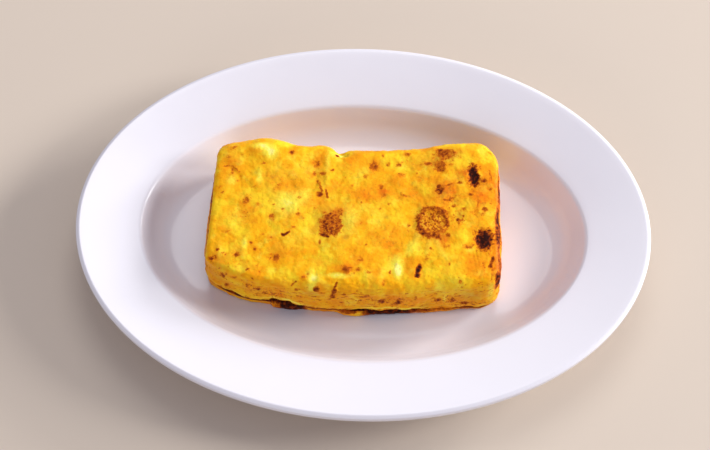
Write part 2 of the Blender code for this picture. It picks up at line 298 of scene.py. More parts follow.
GREEN_FIELDS = (
    (36.9, 32.3, 4.6, 3, 1), (31.5, 26.8, 5, 2.2, 0.6), (61.5, 8, 1.8, 18, 0.4),
    (60.8, -20, 1.8, 10, 0.45), (-61, -27, 3, 5, 0.2), (33.8, 14, 3, 3.4, 0.6),
    (-14.5, -4.5, 6.8, 8.8, 0.8), (25.5, -3, 3, 6, 0.6), (33, -8.5, 6, 2.6, 0.5), (36.5, 1, 2.4, 4, 0.4),
    (-40.5, -4, 1.2, 1.6, 0.6), (-27.5, -3, 0.9, 1.2, 0.55), (-7.5, -12, 1.2, 1.2, 0.6),
    (-49.5, 19.5, 1, 1, 0.6), (21.5, 16.5, 0.9, 0.9, 0.55), (43, 1.5, 1.8, 2.2, 0.6),
    (10.5, -0.5, 0.9, 0.9, 0.55), (-64, -24, 2, 4, 0.25),
)

# The same on the front, by x and how far down.
FRONT_ORANGE = (
    (-50, 12, 9, 6, 0.5), (-36, 13, 8, 7, 0.65), (-24, 17, 6, 5, 0.45), (-12, 16, 6, 7, 0.4),
    (3, 16, 6, 6, 0.45), (15, 14, 8, 8, 0.7), (27, 14, 6, 7, 0.6), (40, 17, 7, 6, 0.55),
    (55, 20, 4, 5, 0.5),
)
# The pale marks on the front are partly lemon patches and partly painted highlights on its ridges.
FRONT_PALE_AND_HIGHLIGHT = (
    (35, 6, 3.5, 4, 0.5), (58, 12, 1.6, 9, 0.6), (-21, 5, 2.6, 3, 0.7), (38, 15.5, 1, 4, 0.6),
)
FRONT_GREEN = (
    (49.5, 14, 4.5, 5.5, 0.4), (-63, 11, 3, 6, 0.25), (-46, 24.8, 2.2, 1.2, 0.8),
    (-20, 25, 2.6, 1.2, 0.75), (-58.5, 21.5, 2.4, 1.6, 0.75), (29, 22, 3, 2, 0.5), (-21, 10, 4, 3, 0.4),
)

# Ridges and, where the height is negative, creases: from x, y to x, y, half-width and height.
TOP_RIDGES = (
    (-17, 15, -17, 35, 2, 0.4), (21, -18.5, 25, -9, 1.2, 0.16), (29, -18, 30.5, -10.5, 1.1, 0.14),
    (36.5, -19, 33.5, -12, 1.1, 0.16), (16, -27, 16, -20, 1.8, 0.3), (-50, 31, -40, 29, 2.6, 0.35),
    (53, 31, 57, 33, 2.6, 0.3), (-63, -25, -63, -15, 1.2, 0.25), (-52, -19, -52, -14, 1.3, 0.25),
    (-23, -29, -6, -28, 1.3, 0.3), (-14.5, 29.4, -9, 31.5, 0.8, -0.8), (-14, 36, -9.5, 31, 1.1, -0.5),
    (-22.5, 26, -22, 13, 1.1, -0.28), (-61, 21.5, -56.5, 17, 0.7, -0.28),
    (-56.5, 17, -55, 11, 0.6, -0.22), (58.5, -14, 55.5, -27, 0.6, -0.28),
    (55.5, -16, 52.5, -28, 0.6, -0.22), (60.5, 4, 59, -12, 0.6, -0.22), (-40, 24, -30, 9, 1.2, -0.15),
    (-2, 14, 10, 17, 1, -0.15), (40, 6, 47, -6, 0.9, -0.18),
)
FRONT_RIDGES = (
    (-8.8, 5, -11.2, 12.5, 0.6, -0.4), (-46, 7, -58, 8.5, 0.8, -0.2), (-2, 6.5, -22, 8, 0.7, -0.2),
    (6, 5, -16, 6.2, 0.7, 0.18), (-55, 19, -38, 20.5, 1, 0.25), (-36, 20.5, -26, 20.5, 0.9, 0.35),
    (8, 22, 22, 22.6, 0.8, 0.3), (37.5, 12, 38.5, 22, 0.8, 0.3), (14.5, 12, 15, 21, 1.2, 0.3),
)


def size_setting(label, about, default):
    """A length as a setting."""
    return FloatProperty(name=label, description=about, unit="LENGTH", default=default)


def colour_setting(label, about, default):
    """A colour as a setting."""
    return FloatVectorProperty(name=label, description=about, subtype="COLOR", default=default)


def number_setting(label, about, default):
    """A plain number as a setting."""
    return FloatProperty(name=label, description=about, default=default)


def angle_setting(label, about, degrees):
    """An angle as a setting."""
    return FloatProperty(name=label, description=about, subtype="ANGLE", default=math.radians(degrees))


class PlateSettings(bpy.types.PropertyGroup):
    """Sizes and finish of the oval plate"""

    length: size_setting("Length", "Long side of the oval over its rim", PLATE_HIGH.x - PLATE_LOW.x)
    width: size_setting("Width", "Short side of the oval over its rim", PLATE_HIGH.y - PLATE_LOW.y)
    rim_width: size_setting("Rim width", "From the well's edge to the lip", 0.029)
    rim_top: size_setting("Rim height", "Height of the lip before it is rounded", 0.0245)
    rim_rise: size_setting("Rim rise", "How much the rim climbs outwards", 0.0050)
    well_depth: size_setting("Well depth", "From the rim's inner edge down to the floor", 0.0125)
    wall_run: size_setting("Wall run", "How far the well's wall leans inwards", 0.0092)
    shell: size_setting("Shell", "Thickness of the porcelain", 0.0045)
    foot_out: size_setting("Foot ring", "Outer long half-axis of the foot ring", 0.0835)
    glaze: colour_setting("Glaze", "Colour of the glazed porcelain", (0.80, 0.775, 0.83))
    bare: colour_setting("Bare clay", "Colour of the foot ring's dry edge", (0.78, 0.72, 0.64))


class OmeletteSettings(bpy.types.PropertyGroup):
    """Sizes and colours of the rolled omelette"""

    length: size_setting("Length", "Length of the roll along its middle", 0.130)
    height: size_setting("Height", "Height of the roll before its lumps", 0.026)
    front: size_setting("Front", "Where the front face stands at the roll's middle", -0.0378)
    back: size_setting("Back", "Where the back face stands at the roll's middle", 0.0373)
    layer: size_setting("Layer", "Thickness of one rolled layer", 0.0034)
    lumps: size_setting("Lumps", "Height of the soft unevenness", 0.00038)
    grain: size_setting("Grain", "Height of the fine pebbling", 0.00013)
    golden: colour_setting("Golden", "Main colour of the skin", (0.95, 0.44, 0.006))
    yellow: colour_setting("Yellow", "Lighter yellow of the skin", (0.97, 0.62, 0.018))
    orange: colour_setting("Orange", "Lightly toasted skin", (0.82, 0.175, 0.003))
    # Pale and cream colour lemon patches and also the painted highlights of the skin.
    pale: colour_setting("Pale", "Lemon patches", (0.98, 0.79, 0.060))
    cream: colour_setting("Cream", "Palest patches", (0.99, 0.93, 0.32))
    green: colour_setting("Olive", "Greyed patches at the edges of the browning", (0.34, 0.17, 0.020))


class StudioSettings(bpy.types.PropertyGroup):
    """Floor, light and camera"""

    floor: colour_setting("Floor", "Colour of the floor", (0.67, 0.57, 0.47))
    key_power: number_setting("Key power", "Power of the low soft light from the right, in watts", 78.0)
    side_power: number_setting("Side power", "Power of the higher soft light from the right, in watts", 48.0)
    overhead_power: number_setting("Overhead power", "Power of the light over the back, in watts", 9.0)
    front_power: number_setting("Front power", "Power of the light from the front, in watts", 6.4)
    fill_strength: number_setting("Fill strength", "Brightness of the light from all round", 0.39)
    camera_turn: angle_setting("Camera turn", "Turn of the view about the vertical", 2.54)
    camera_rise: angle_setting("Camera rise", "Angle of the view above the horizon", 63.43)
    camera_distance: size_setting("Camera distance", "From the camera to what it aims at", 0.9)
    lens: number_setting("Lens", "Focal length for a 36 mm wide sensor, in millimetres", 97.96)


def rounded_outline(corners):
    """Closed outlines whose corners are turned into arcs, for many outlines at once.

    A corner is (across, up, radius, arc points, side points), and the first three may hold a value for
    each outline. Its arc touches both sides that meet there, starting radius * tan(turn / 2) before the
    corner, and the side after it is divided evenly. Returns points as (outline, point, across and up).
    """
    count = max(np.size(value) for corner in corners for value in corner[:3])
    table = np.array([[np.broadcast_to(value, count) for value in corner[:3]] for corner in corners])
    place = table[:, :2].transpose(0, 2, 1)
    before = np.roll(place, 1, axis=0) - place
    after = np.roll(place, -1, axis=0) - place
    long_before = np.linalg.norm(before, axis=-1, keepdims=True)
    long_after = np.linalg.norm(after, axis=-1, keepdims=True)
    before = before / long_before
    after = after / long_after
    turn = math.pi - np.arccos(np.clip((before * after).sum(axis=-1, keepdims=True), -1, 1))
    reach = np.minimum(table[:, 2, :, None] * np.tan(turn / 2), 0.49 * np.minimum(long_before, long_after))
    bisector = (before + after) / np.linalg.norm(before + after, axis=-1, keepdims=True)
    centre = place + bisector * reach / np.tan(turn / 2) / np.cos(turn / 2)
    start = place + before * reach - centre
    to_corner = place - centre
    cross = start[..., :1] * to_corner[..., 1:] - start[..., 1:] * to_corner[..., :1]
    turn = turn * np.where(cross < 0, -1, 1)
    ends = place + after * reach
    starts = np.roll(place + before * reach, -1, axis=0)
    pieces = []
    for i, (*_, arc_points, side_points) in enumerate(corners):
        angle = turn[i] * np.linspace(0, 1, arc_points)
        c, s = np.cos(angle), np.sin(angle)
        x, y = start[i, :, :1], start[i, :, 1:]
        pieces.append(centre[i][:, None] + np.stack((x * c - y * s, x * s + y * c), axis=-1))
        share = np.linspace(0, 1, side_points + 2)[1:-1, None]
        pieces.append(ends[i][:, None] * (1 - share) + starts[i][:, None] * share)
    return np.concatenate(pieces, axis=1)


def grid_object(name, grid, first_pole, last_pole, material, fields=()):
    """A closed object over a grid of points whose rows are rings.

    Each ring is joined to the next and to itself all round, and the end rings fan in to their poles.
    fields are (name, value at each grid point), kept on the mesh for its material.
    """
    rings, around = grid.shape[:2]
    points = np.concatenate((grid.reshape(-1, 3), (first_pole, last_pole)))
    index = np.arange(rings * around).reshape(rings, around)
    beside = np.roll(index, -1, axis=1)
    quads = np.stack((index[:-1], index[1:], beside[1:], beside[:-1]), axis=-1).reshape(-1, 4)
    tip = np.full(around, rings * around)
    first_fan = np.stack((tip, index[0], beside[0]), axis=-1)
    last_fan = np.stack((tip + 1, beside[-1], index[-1]), axis=-1)
    mesh = bpy.data.meshes.new(name)
    mesh.from_pydata(points.tolist(), [], quads.tolist() + first_fan.tolist() + last_fan.tolist())
    for field_name, values in fields:
        at_points = np.concatenate((values.ravel(), (values[0].mean(), values[-1].mean())))
        layer = mesh.attributes.new(field_name, "FLOAT", "POINT")
        layer.data.foreach_set("value", at_points.astype(np.float32))
    mesh.materials.append(material)
    mesh.shade_smooth()
    made = bpy.data.objects.new(name, mesh)
    bpy.context.scene.collection.objects.link(made)
    return made


def outward_normals(grid):
    """Unit normals of a closed grid: the cross product of the steps along it and round it."""
    along = np.gradient(grid, axis=0)
    around = np.roll(grid, -1, axis=1) - np.roll(grid, 1, axis=1)
    normals = np.cross(along, around)
    return normals / np.maximum(np.linalg.norm(normals, axis=-1, keepdims=True), 1e-12)


def smooth_step(low, high, value):
    """0 below low and 1 above high, and the curve 3t^2 - 2t^3 between them. low may be above high."""
    share = np.clip((value - low) / (high - low), 0, 1)
    return share * share * (3 - 2 * share)


def soft_noise(places, cell, seed):
    """Gradient noise from about -1 to 1 at places in space, whose lumps are one cell wide.

    Each corner of a cube grid has a random direction. The eight dot products of those directions with the
    way from their corners are blended by the curve 6t^5 - 15t^4 + 10t^3 along each axis.
    """
    period = 32
    directions = np.random.default_rng(seed).normal(size=(period, period, period, 3))
    directions /= np.linalg.norm(directions, axis=-1, keepdims=True)
    at = places / cell
    corner = np.floor(at).astype(int)
    inside = at - corner
    fade = inside**3 * (inside * (inside * 6 - 15) + 10)
    total = np.zeros(places.shape[:-1])
    for step in itertools.product((0, 1), repeat=3):
        wrapped = (corner + step) % period
        direction = directions[wrapped[..., 0], wrapped[..., 1], wrapped[..., 2]]
        weight = np.where(np.array(step) == 1, fade, 1 - fade).prod(axis=-1)
        total += weight * (direction * (inside - step)).sum(axis=-1)
    return total * 1.6


def ovals(across, along, marks, core=0.35, edge=2.1):
    """Strength of oval marks (x, y, half-widths, strength). Each is whole inside core half-widths and gone
    at edge half-widths, and the strongest counts where they overlap."""
    total = np.zeros(across.shape)
    for x, y, half_x, half_y, strength in marks:
        far = np.hypot((across - x) / half_x, (along - y) / half_y)
        total = np.maximum(total, strength * smooth_step(edge, core, far))
    return total


def bells(across, along, marks):
    """Strength of soft fields (x, y, half-widths, strength), as bells whose sum is kept to 1."""
    total = np.zeros(across.shape)
    for x, y, half_x, half_y, strength in marks:
        total += strength * np.exp(-(((across - x) / half_x) ** 2) - ((along - y) / half_y) ** 2)
    return np.minimum(total, 1)


def from_stroke(across, along, x0, y0, x1, y1):
    """Distance from the straight stroke between two points."""
    run_x, run_y = x1 - x0, y1 - y0
    share = np.clip(((across - x0) * run_x + (along - y0) * run_y) / (run_x**2 + run_y**2), 0, 1)
    return np.hypot(across - x0 - share * run_x, along - y0 - share * run_y)


def strokes(across, along, marks):
    """Strength of strokes (from x, y to x, y, half-width, strength), the strongest where they overlap."""
    total = np.zeros(across.shape)
    for *line, half, strength in marks:
        far = from_stroke(across, along, *line)
        total = np.maximum(total, strength * smooth_step(2.0 * half, 0.2 * half, far))
    return total


def ridges(across, along, marks):
    """Height of ridges (from x, y to x, y, half-width, height), as bells across each stroke."""
    total = np.zeros(across.shape)
    for *line, half, height in marks:
        total += height * np.exp(-((from_stroke(across, along, *line) / half) ** 2))
    return total


def plate_grid(plate):
    """Rings of the plate from its floor's middle out over wall, rim and lip, and back under to the middle.

    A section of straight sides and arcs is carried round an oval: bands outside the floor are as wide all
    round, and inside it the ovals shrink in proportion to the middle.
    """
    half = plate.length / 2
    difference = (plate.length - plate.width) / 2
    rim_in = half - plate.rim_width
    inner_up = plate.rim_top - plate.rim_rise
    floor = inner_up - plate.well_depth
    under = floor - plate.shell
    foot_in = plate.foot_out - FOOT_TAPER - FOOT_BOTTOM_WIDTH
    flat_out = foot_in - FOOT_TAPER - FOOT_TO_FLOOR_RINGS
    wall_in = rim_in - plate.wall_run
    lip_drop = plate.rim_top - LIP_DROP
    section = rounded_outline((
        (flat_out, floor, 0, 1, 6),
        (wall_in, floor, WALL_LOW_ROUND, 20, 5),
        (rim_in, inner_up, WALL_TOP_ROUND, 9, 10),
        (half - LIP_WIDTH, plate.rim_top, LIP_ROUNDS[0], 7, 2),
        (half, lip_drop, LIP_ROUNDS[1], 9, 2),
        (half, lip_drop - LIP_EDGE, LIP_ROUNDS[2], 9, 14),
        (rim_in + UNDER_RIM_OUT, inner_up - plate.shell + UNDER_RIM_UP, UNDER_RIM_ROUND, 7, 9),
        (wall_in + UNDER_WALL_OUT, floor - UNDER_WALL_DROP, UNDER_WALL_ROUND, 12, 6),
        (plate.foot_out + FOOT_FLARE, under + FOOT_FLARE_UP, FOOT_FLARE_ROUND, 9, 2),
        (plate.foot_out - FOOT_TAPER, 0, FOOT_EDGE_ROUND, 7, 3),
        (foot_in, 0, FOOT_EDGE_ROUND, 7, 3),
        (foot_in - FOOT_TAPER, under, FOOT_EDGE_ROUND, 7, 3),
        (flat_out, under, 0, 1, 0),
    ))[0]
    share = np.arange(1, FLOOR_RINGS) / FLOOR_RINGS
    inner = np.stack((flat_out * share, np.full(share.shape, floor)), axis=-1)
    below = np.stack((flat_out * share[::-1], np.full(share.shape, under)), axis=-1)
    out, up = np.concatenate((inner, section, below)).T
    short = np.where(out >= flat_out, out - difference, out * (flat_out - difference) / flat_out)
    turn = np.arange(PLATE_SPOKES) * 2 * math.pi / PLATE_SPOKES
    x = out[:, None] * np.cos(turn)
    y = short[:, None] * np.sin(turn)
    return np.stack((x, y, np.broadcast_to(up[:, None], x.shape)), axis=-1), floor, under


def roll_outline(roll, x, openness):
    """The roll's section at each x, from the seam's inner end over the outer layer's edge, front, top, back
    and underside to the lowest layer's edge. The seam's height, gap and depth follow the SEAM list."""
    at, *columns = np.array(SEAM).T
    height, gap, depth, set_back = (np.interp(x * TO_MM, at, column) / TO_MM for column in columns)
    places = np.stack((x * TO_MM, np.zeros(x.shape), np.zeros(x.shape)), axis=-1)
    height = height + 0.0005 * soft_noise(places, 5.0, 11) + 0.0003 * soft_noise(places, 1.9, 12)
    gap = (gap + 0.0002 * soft_noise(places, 3.1, 13)) * openness
    depth = depth * openness
    edge = LAYER_EDGE_ROUND * openness
    front_round = np.interp(x * TO_MM, *np.array(FRONT_ROUNDS).T) / TO_MM
    return rounded_outline((
        (roll.front + depth, height - gap / 2, 0, SEAM_IN, LIP_UNDER),
        (roll.front, height, edge, LIP_ARC, FRONT_SIDE),
        (roll.front + FRONT_LEAN, roll.height, front_round, FRONT_ARC, TOP_SIDE),
        (roll.back, roll.height, BACK_TOP_ROUND, BACK_ARC, BACK_SIDE),
        (roll.back - BACK_LEAN, 0, BACK_LOW_ROUND, LOW_ARC, UNDER_SIDE),
        (roll.front + set_back + LAYER_SET_BACK / 2, 0, LAYER_EDGE_ROUND, FOOT_ARC, LAYER_SIDE),
        (roll.front + set_back, height - gap, edge, LAYER_ARC, LIP_UNDER),
    ))


def edge_bumps(x, bumps):
    """How far a long edge stands out at x, as a sum of bells."""
    return sum(out * np.exp(-(((x - middle) / reach) ** 2)) for middle, reach, out in bumps)


def top_lumps(x, y):
    """Height of the top's soft lumps over a place, as a sum of bells."""
    return sum(
        height * np.exp(-((x - middle_x) ** 2 + (y - middle_y) ** 2) / reach**2)
        for middle_x, middle_y, reach, height in TOP_LUMPS
    )


def roll_grid(roll):
    """Rings of the roll from its left end to its right, with how far each has gone over its end.

    The section follows the bend of the two long edges. Over an end's rounded edge it shrinks by a quarter
    circle, and over the end's face it closes towards the middle.
    """
    half = roll.length / 2
    straight = half - END_ROUND_X
    turn = np.linspace(0, math.pi / 2, ROUND_RINGS + 1)[1:]
    closing = np.linspace(0, FACE_CLOSES, FACE_RINGS + 1)[1:]
    end_x = np.concatenate((straight + END_ROUND_X * np.sin(turn), np.full(FACE_RINGS, half)))
    end_round = np.concatenate((1 - np.cos(turn), np.ones(FACE_RINGS)))
    end_face = np.concatenate((np.zeros(ROUND_RINGS), closing))
    body = np.linspace(-straight, straight, BODY_RINGS)
    none = np.zeros(BODY_RINGS)
    x = np.concatenate((-end_x[::-1], body, end_x))
    round_share = np.concatenate((end_round[::-1], none, end_round))
    face_share = np.concatenate((end_face[::-1], none, end_face))

    section = roll_outline(roll, x, np.maximum(0.02, 1 - round_share))
    across, up = section[..., 0], section[..., 1]
    x, round_share, face_share = x[:, None], round_share[:, None], face_share[:, None]
    sides = (across - (roll.back + roll.front) / 2) / ((roll.back - roll.front) / 2)
    up = up + TOP_CROWN * (up / roll.height) * (1 - sides**2)
    bend = BEND * (x - BEND_MIDDLE) ** 2
    front = roll.front + bend - edge_bumps(x, FRONT_BUMPS)
    back = roll.back + bend + edge_bumps(x, BACK_BUMPS)
    front_corner = np.where(x < 0, CORNER_ROUNDS["front_left"], CORNER_ROUNDS["front_right"])
    back_corner = np.where(x < 0, CORNER_ROUNDS["back_left"], CORNER_ROUNDS["back_right"])
    front = front + front_corner * round_share
    back = back - back_corner * round_share
    middle = (front + back) / 2
    outline = middle + sides * (back - front) / 2
    up = up + (up / roll.height) * top_lumps(x, outline)
    half_up = roll.height / 2
    drop = END_ROUND_Z * round_share**END_SQUARE
    z = half_up + (up - half_up) * (1 - drop / half_up) * (1 - face_share)
    y = middle + (outline - middle) * (1 - FACE_NARROWS * face_share)
    along = (x + np.copysign(END_BULGE * (1 - (1 - face_share) ** 2), x)) * (1 - BACK_SHORTER * sides)
    middle_x = (ROLL_LOW.x + ROLL_HIGH.x) / 2
    grid = np.stack((middle_x + along, y, ROLL_LOW.z + z), axis=-1)
    return grid, x, round_share, face_share


class Skin:
    """Where each point of the roll's skin lies when the skin is laid flat, in millimetres.

    across is along the roll, and runs on down the end faces. down is measured from where the top starts
    to round over to the front, over from where it rounds over to the back. flat_y is y on the top, run on
    at the same scale down the front and the back.
    """

    def __init__(self, roll, grid, x, round_share, face_share):
        self.places = grid * TO_MM
        steps = np.linalg.norm(np.diff(self.places, axis=1), axis=-1)
        length = np.concatenate((np.zeros((len(grid), 1)), np.cumsum(steps, axis=1)), axis=1)
        self.down = length[:, TOP_START, None] - length
        self.over = length - length[:, TOP_END, None]
        y = self.places[..., 1]
        self.flat_y = np.where(self.down > 0, y[:, TOP_START, None] - self.down, y)
        self.flat_y = np.where(self.over > 0, y[:, TOP_END, None] + self.over, self.flat_y)
        self.across = self.places[..., 0] + np.sign(x) * face_share * roll.height / 2 * TO_MM
        lip_height = self.places[:, SEAM_IN + LIP_UNDER, 2, None]
        self.below_lip = lip_height - self.places[..., 2]
        self.above_lip = length - length[:, SEAM_IN + LIP_UNDER + LIP_ARC, None]
        self.round_share = np.broadcast_to(round_share, y.shape)
        self.face_share = np.broadcast_to(face_share, y.shape)
        column = np.arange(y.shape[1])
        self.around_share = np.broadcast_to(column / y.shape[1], y.shape)
        seam_columns = (column < SEAM_IN + LIP_UNDER + 1) | (column >= y.shape[1] - LIP_UNDER)
        self.in_seam = np.broadcast_to(seam_columns, y.shape)
        self.on_layer = np.broadcast_to(column >= LAYER_START, y.shape)
        under_columns = smooth_step(UNDER_START - 10, UNDER_START, column)
        under_columns = under_columns * smooth_step(LAYER_START + 2, LAYER_START - 1, column)
        ragged_share = face_share + 0.10 * soft_noise(self.places, 4.0, 25)
        self.under = under_columns * smooth_step(0.30, 0.05, ragged_share)
        self.end_face = smooth_step(0.55, 0.95, self.round_share)
        wander_x = 0.50 * soft_noise(self.places, 2.6, 21) + 0.28 * soft_noise(self.places, 1.2, 22)
        wander_y = 0.50 * soft_noise(self.places, 2.6, 23) + 0.28 * soft_noise(self.places, 1.2, 24)
        self.x = self.across + wander_x
        self.y = self.flat_y + wander_y
        self.front_down = self.down + wander_y
        self.on_front = smooth_step(0, 2, self.down) * smooth_step(40, 34, self.down)
        self.on_top = 1 - smooth_step(8, 10, self.down)

    def from_middle(self, x, y, half_x, half_y):
        """How far each point is from an oval's middle, where 1 is on the oval."""
        return np.hypot((self.x - x) / half_x, (self.y - y) / half_y)


def end_spiral(roll, skin):
    """Height of the layers' edges on an end face, and how deep between two layers each point lies.

    The layers wind in from the seam, so a point's layer number is its depth into the face over the
    layer's thickness, plus its share of the way round. Grooves lie where that number is whole.
    """
    depth = skin.face_share * (roll.height / 2 - END_ROUND_Z) + 0.0012
    number = depth / roll.layer + skin.around_share
    number = number + 0.10 * soft_noise(skin.places, 7.0, 31)
    to_groove = np.abs(number - np.round(number))
    shown = smooth_step(0.80, 1.0, skin.round_share) * smooth_step(1.0, 0.8, skin.face_share / FACE_CLOSES)
    groove = shown * np.exp(-((to_groove / 0.13) ** 2))
    return -0.65 * groove + 0.25 * shown * np.sqrt(np.clip(to_groove * 2, 0, 1)), groove


def lip(skin):
    """The rolled edge of the outer layer, as a bell across it from 0 to 1."""
    return skin.on_front * np.exp(-(((skin.above_lip - 0.8) / 0.8) ** 2))


def creases(skin, cell, seed):
    """Thin lines that wander over the skin, from 0 to 1: where noise of one cell's size passes through 0."""
    return np.exp(-((soft_noise(skin.places, cell, seed) / 0.07) ** 2))


def skin_relief(roll, skin):
    """Height of the skin over the plain roll, in millimetres: noise of four sizes, ridges and creases,
    wrinkles where the skin was pushed together, blisters, sunken burns and the layers of the end faces."""
    places = skin.places
    lumps = roll.lumps * TO_MM * (soft_noise(places, 9.0, 41) + 0.6 * soft_noise(places, 4.6, 42))
    grain = roll.grain * TO_MM * (soft_noise(places, 2.2, 43) + 0.6 * soft_noise(places, 1.2, 44))
    top, front = skin.on_top, skin.on_front
    relief = (lumps + grain) * (1 + 0.5 * front)
    relief = relief - 0.10 * creases(skin, 6.5, 47) - 0.05 * creases(skin, 3.4, 48)
    relief = relief + top * ridges(skin.x, skin.y, TOP_RIDGES)
    relief = relief + front * ridges(skin.x, skin.front_down, FRONT_RIDGES)
    waves = np.sin(2 * math.pi * (skin.down / 1.9 + 0.7 * soft_noise(places, 5.0, 45)))
    pushed = ((-5, 6, 22, 4, 1), (-50, 8, 10, 4, 0.8), (30, 10, 14, 4, 0.5))
    relief = relief + 0.10 * bells(skin.across, skin.down, pushed) * waves
    fan = np.sin(2 * math.pi * (skin.across / 1.7 + 0.12 * skin.flat_y + 0.5 * soft_noise(places, 5.0, 46)))
    relief = relief + 0.11 * fan * bells(skin.across, skin.flat_y, ((55, -20, 6, 9, 1), (60, 0, 3, 9, 0.8)))
    ring = skin.from_middle(*RING_RIM)
    rim = 0.22 * np.exp(-(((ring - 0.86) / 0.16) ** 2))
    relief = relief + top * (rim - 0.12 * smooth_step(0.75, 0.4, ring))
    sunken = sum(smooth_step(1.2, 0.7, skin.from_middle(*oval)) for *oval, _ in CHARRED)
    relief = relief - 0.25 * top * sunken
    spiral, _ = end_spiral(roll, skin)
    relief = relief + spiral + 0.20 * lip(skin)
    return relief * (1 - 0.7 * skin.under) * np.where(skin.in_seam, 0.2, 1)


def random_marks(seed, count, x_range, y_range, sizes, strengths):
    """A list of oval marks scattered evenly over a rectangle, smaller ones more often."""
    random = np.random.default_rng(seed)
    x = random.uniform(*x_range, count)
    y = random.uniform(*y_range, count)
    size = sizes[0] + (sizes[1] - sizes[0]) * random.random(count) ** 2.5
    shape = random.uniform(0.7, 1.4, count)
    strength = random.uniform(*strengths, count)
    return np.stack((x, y, size * shape, size / shape, strength), axis=-1)


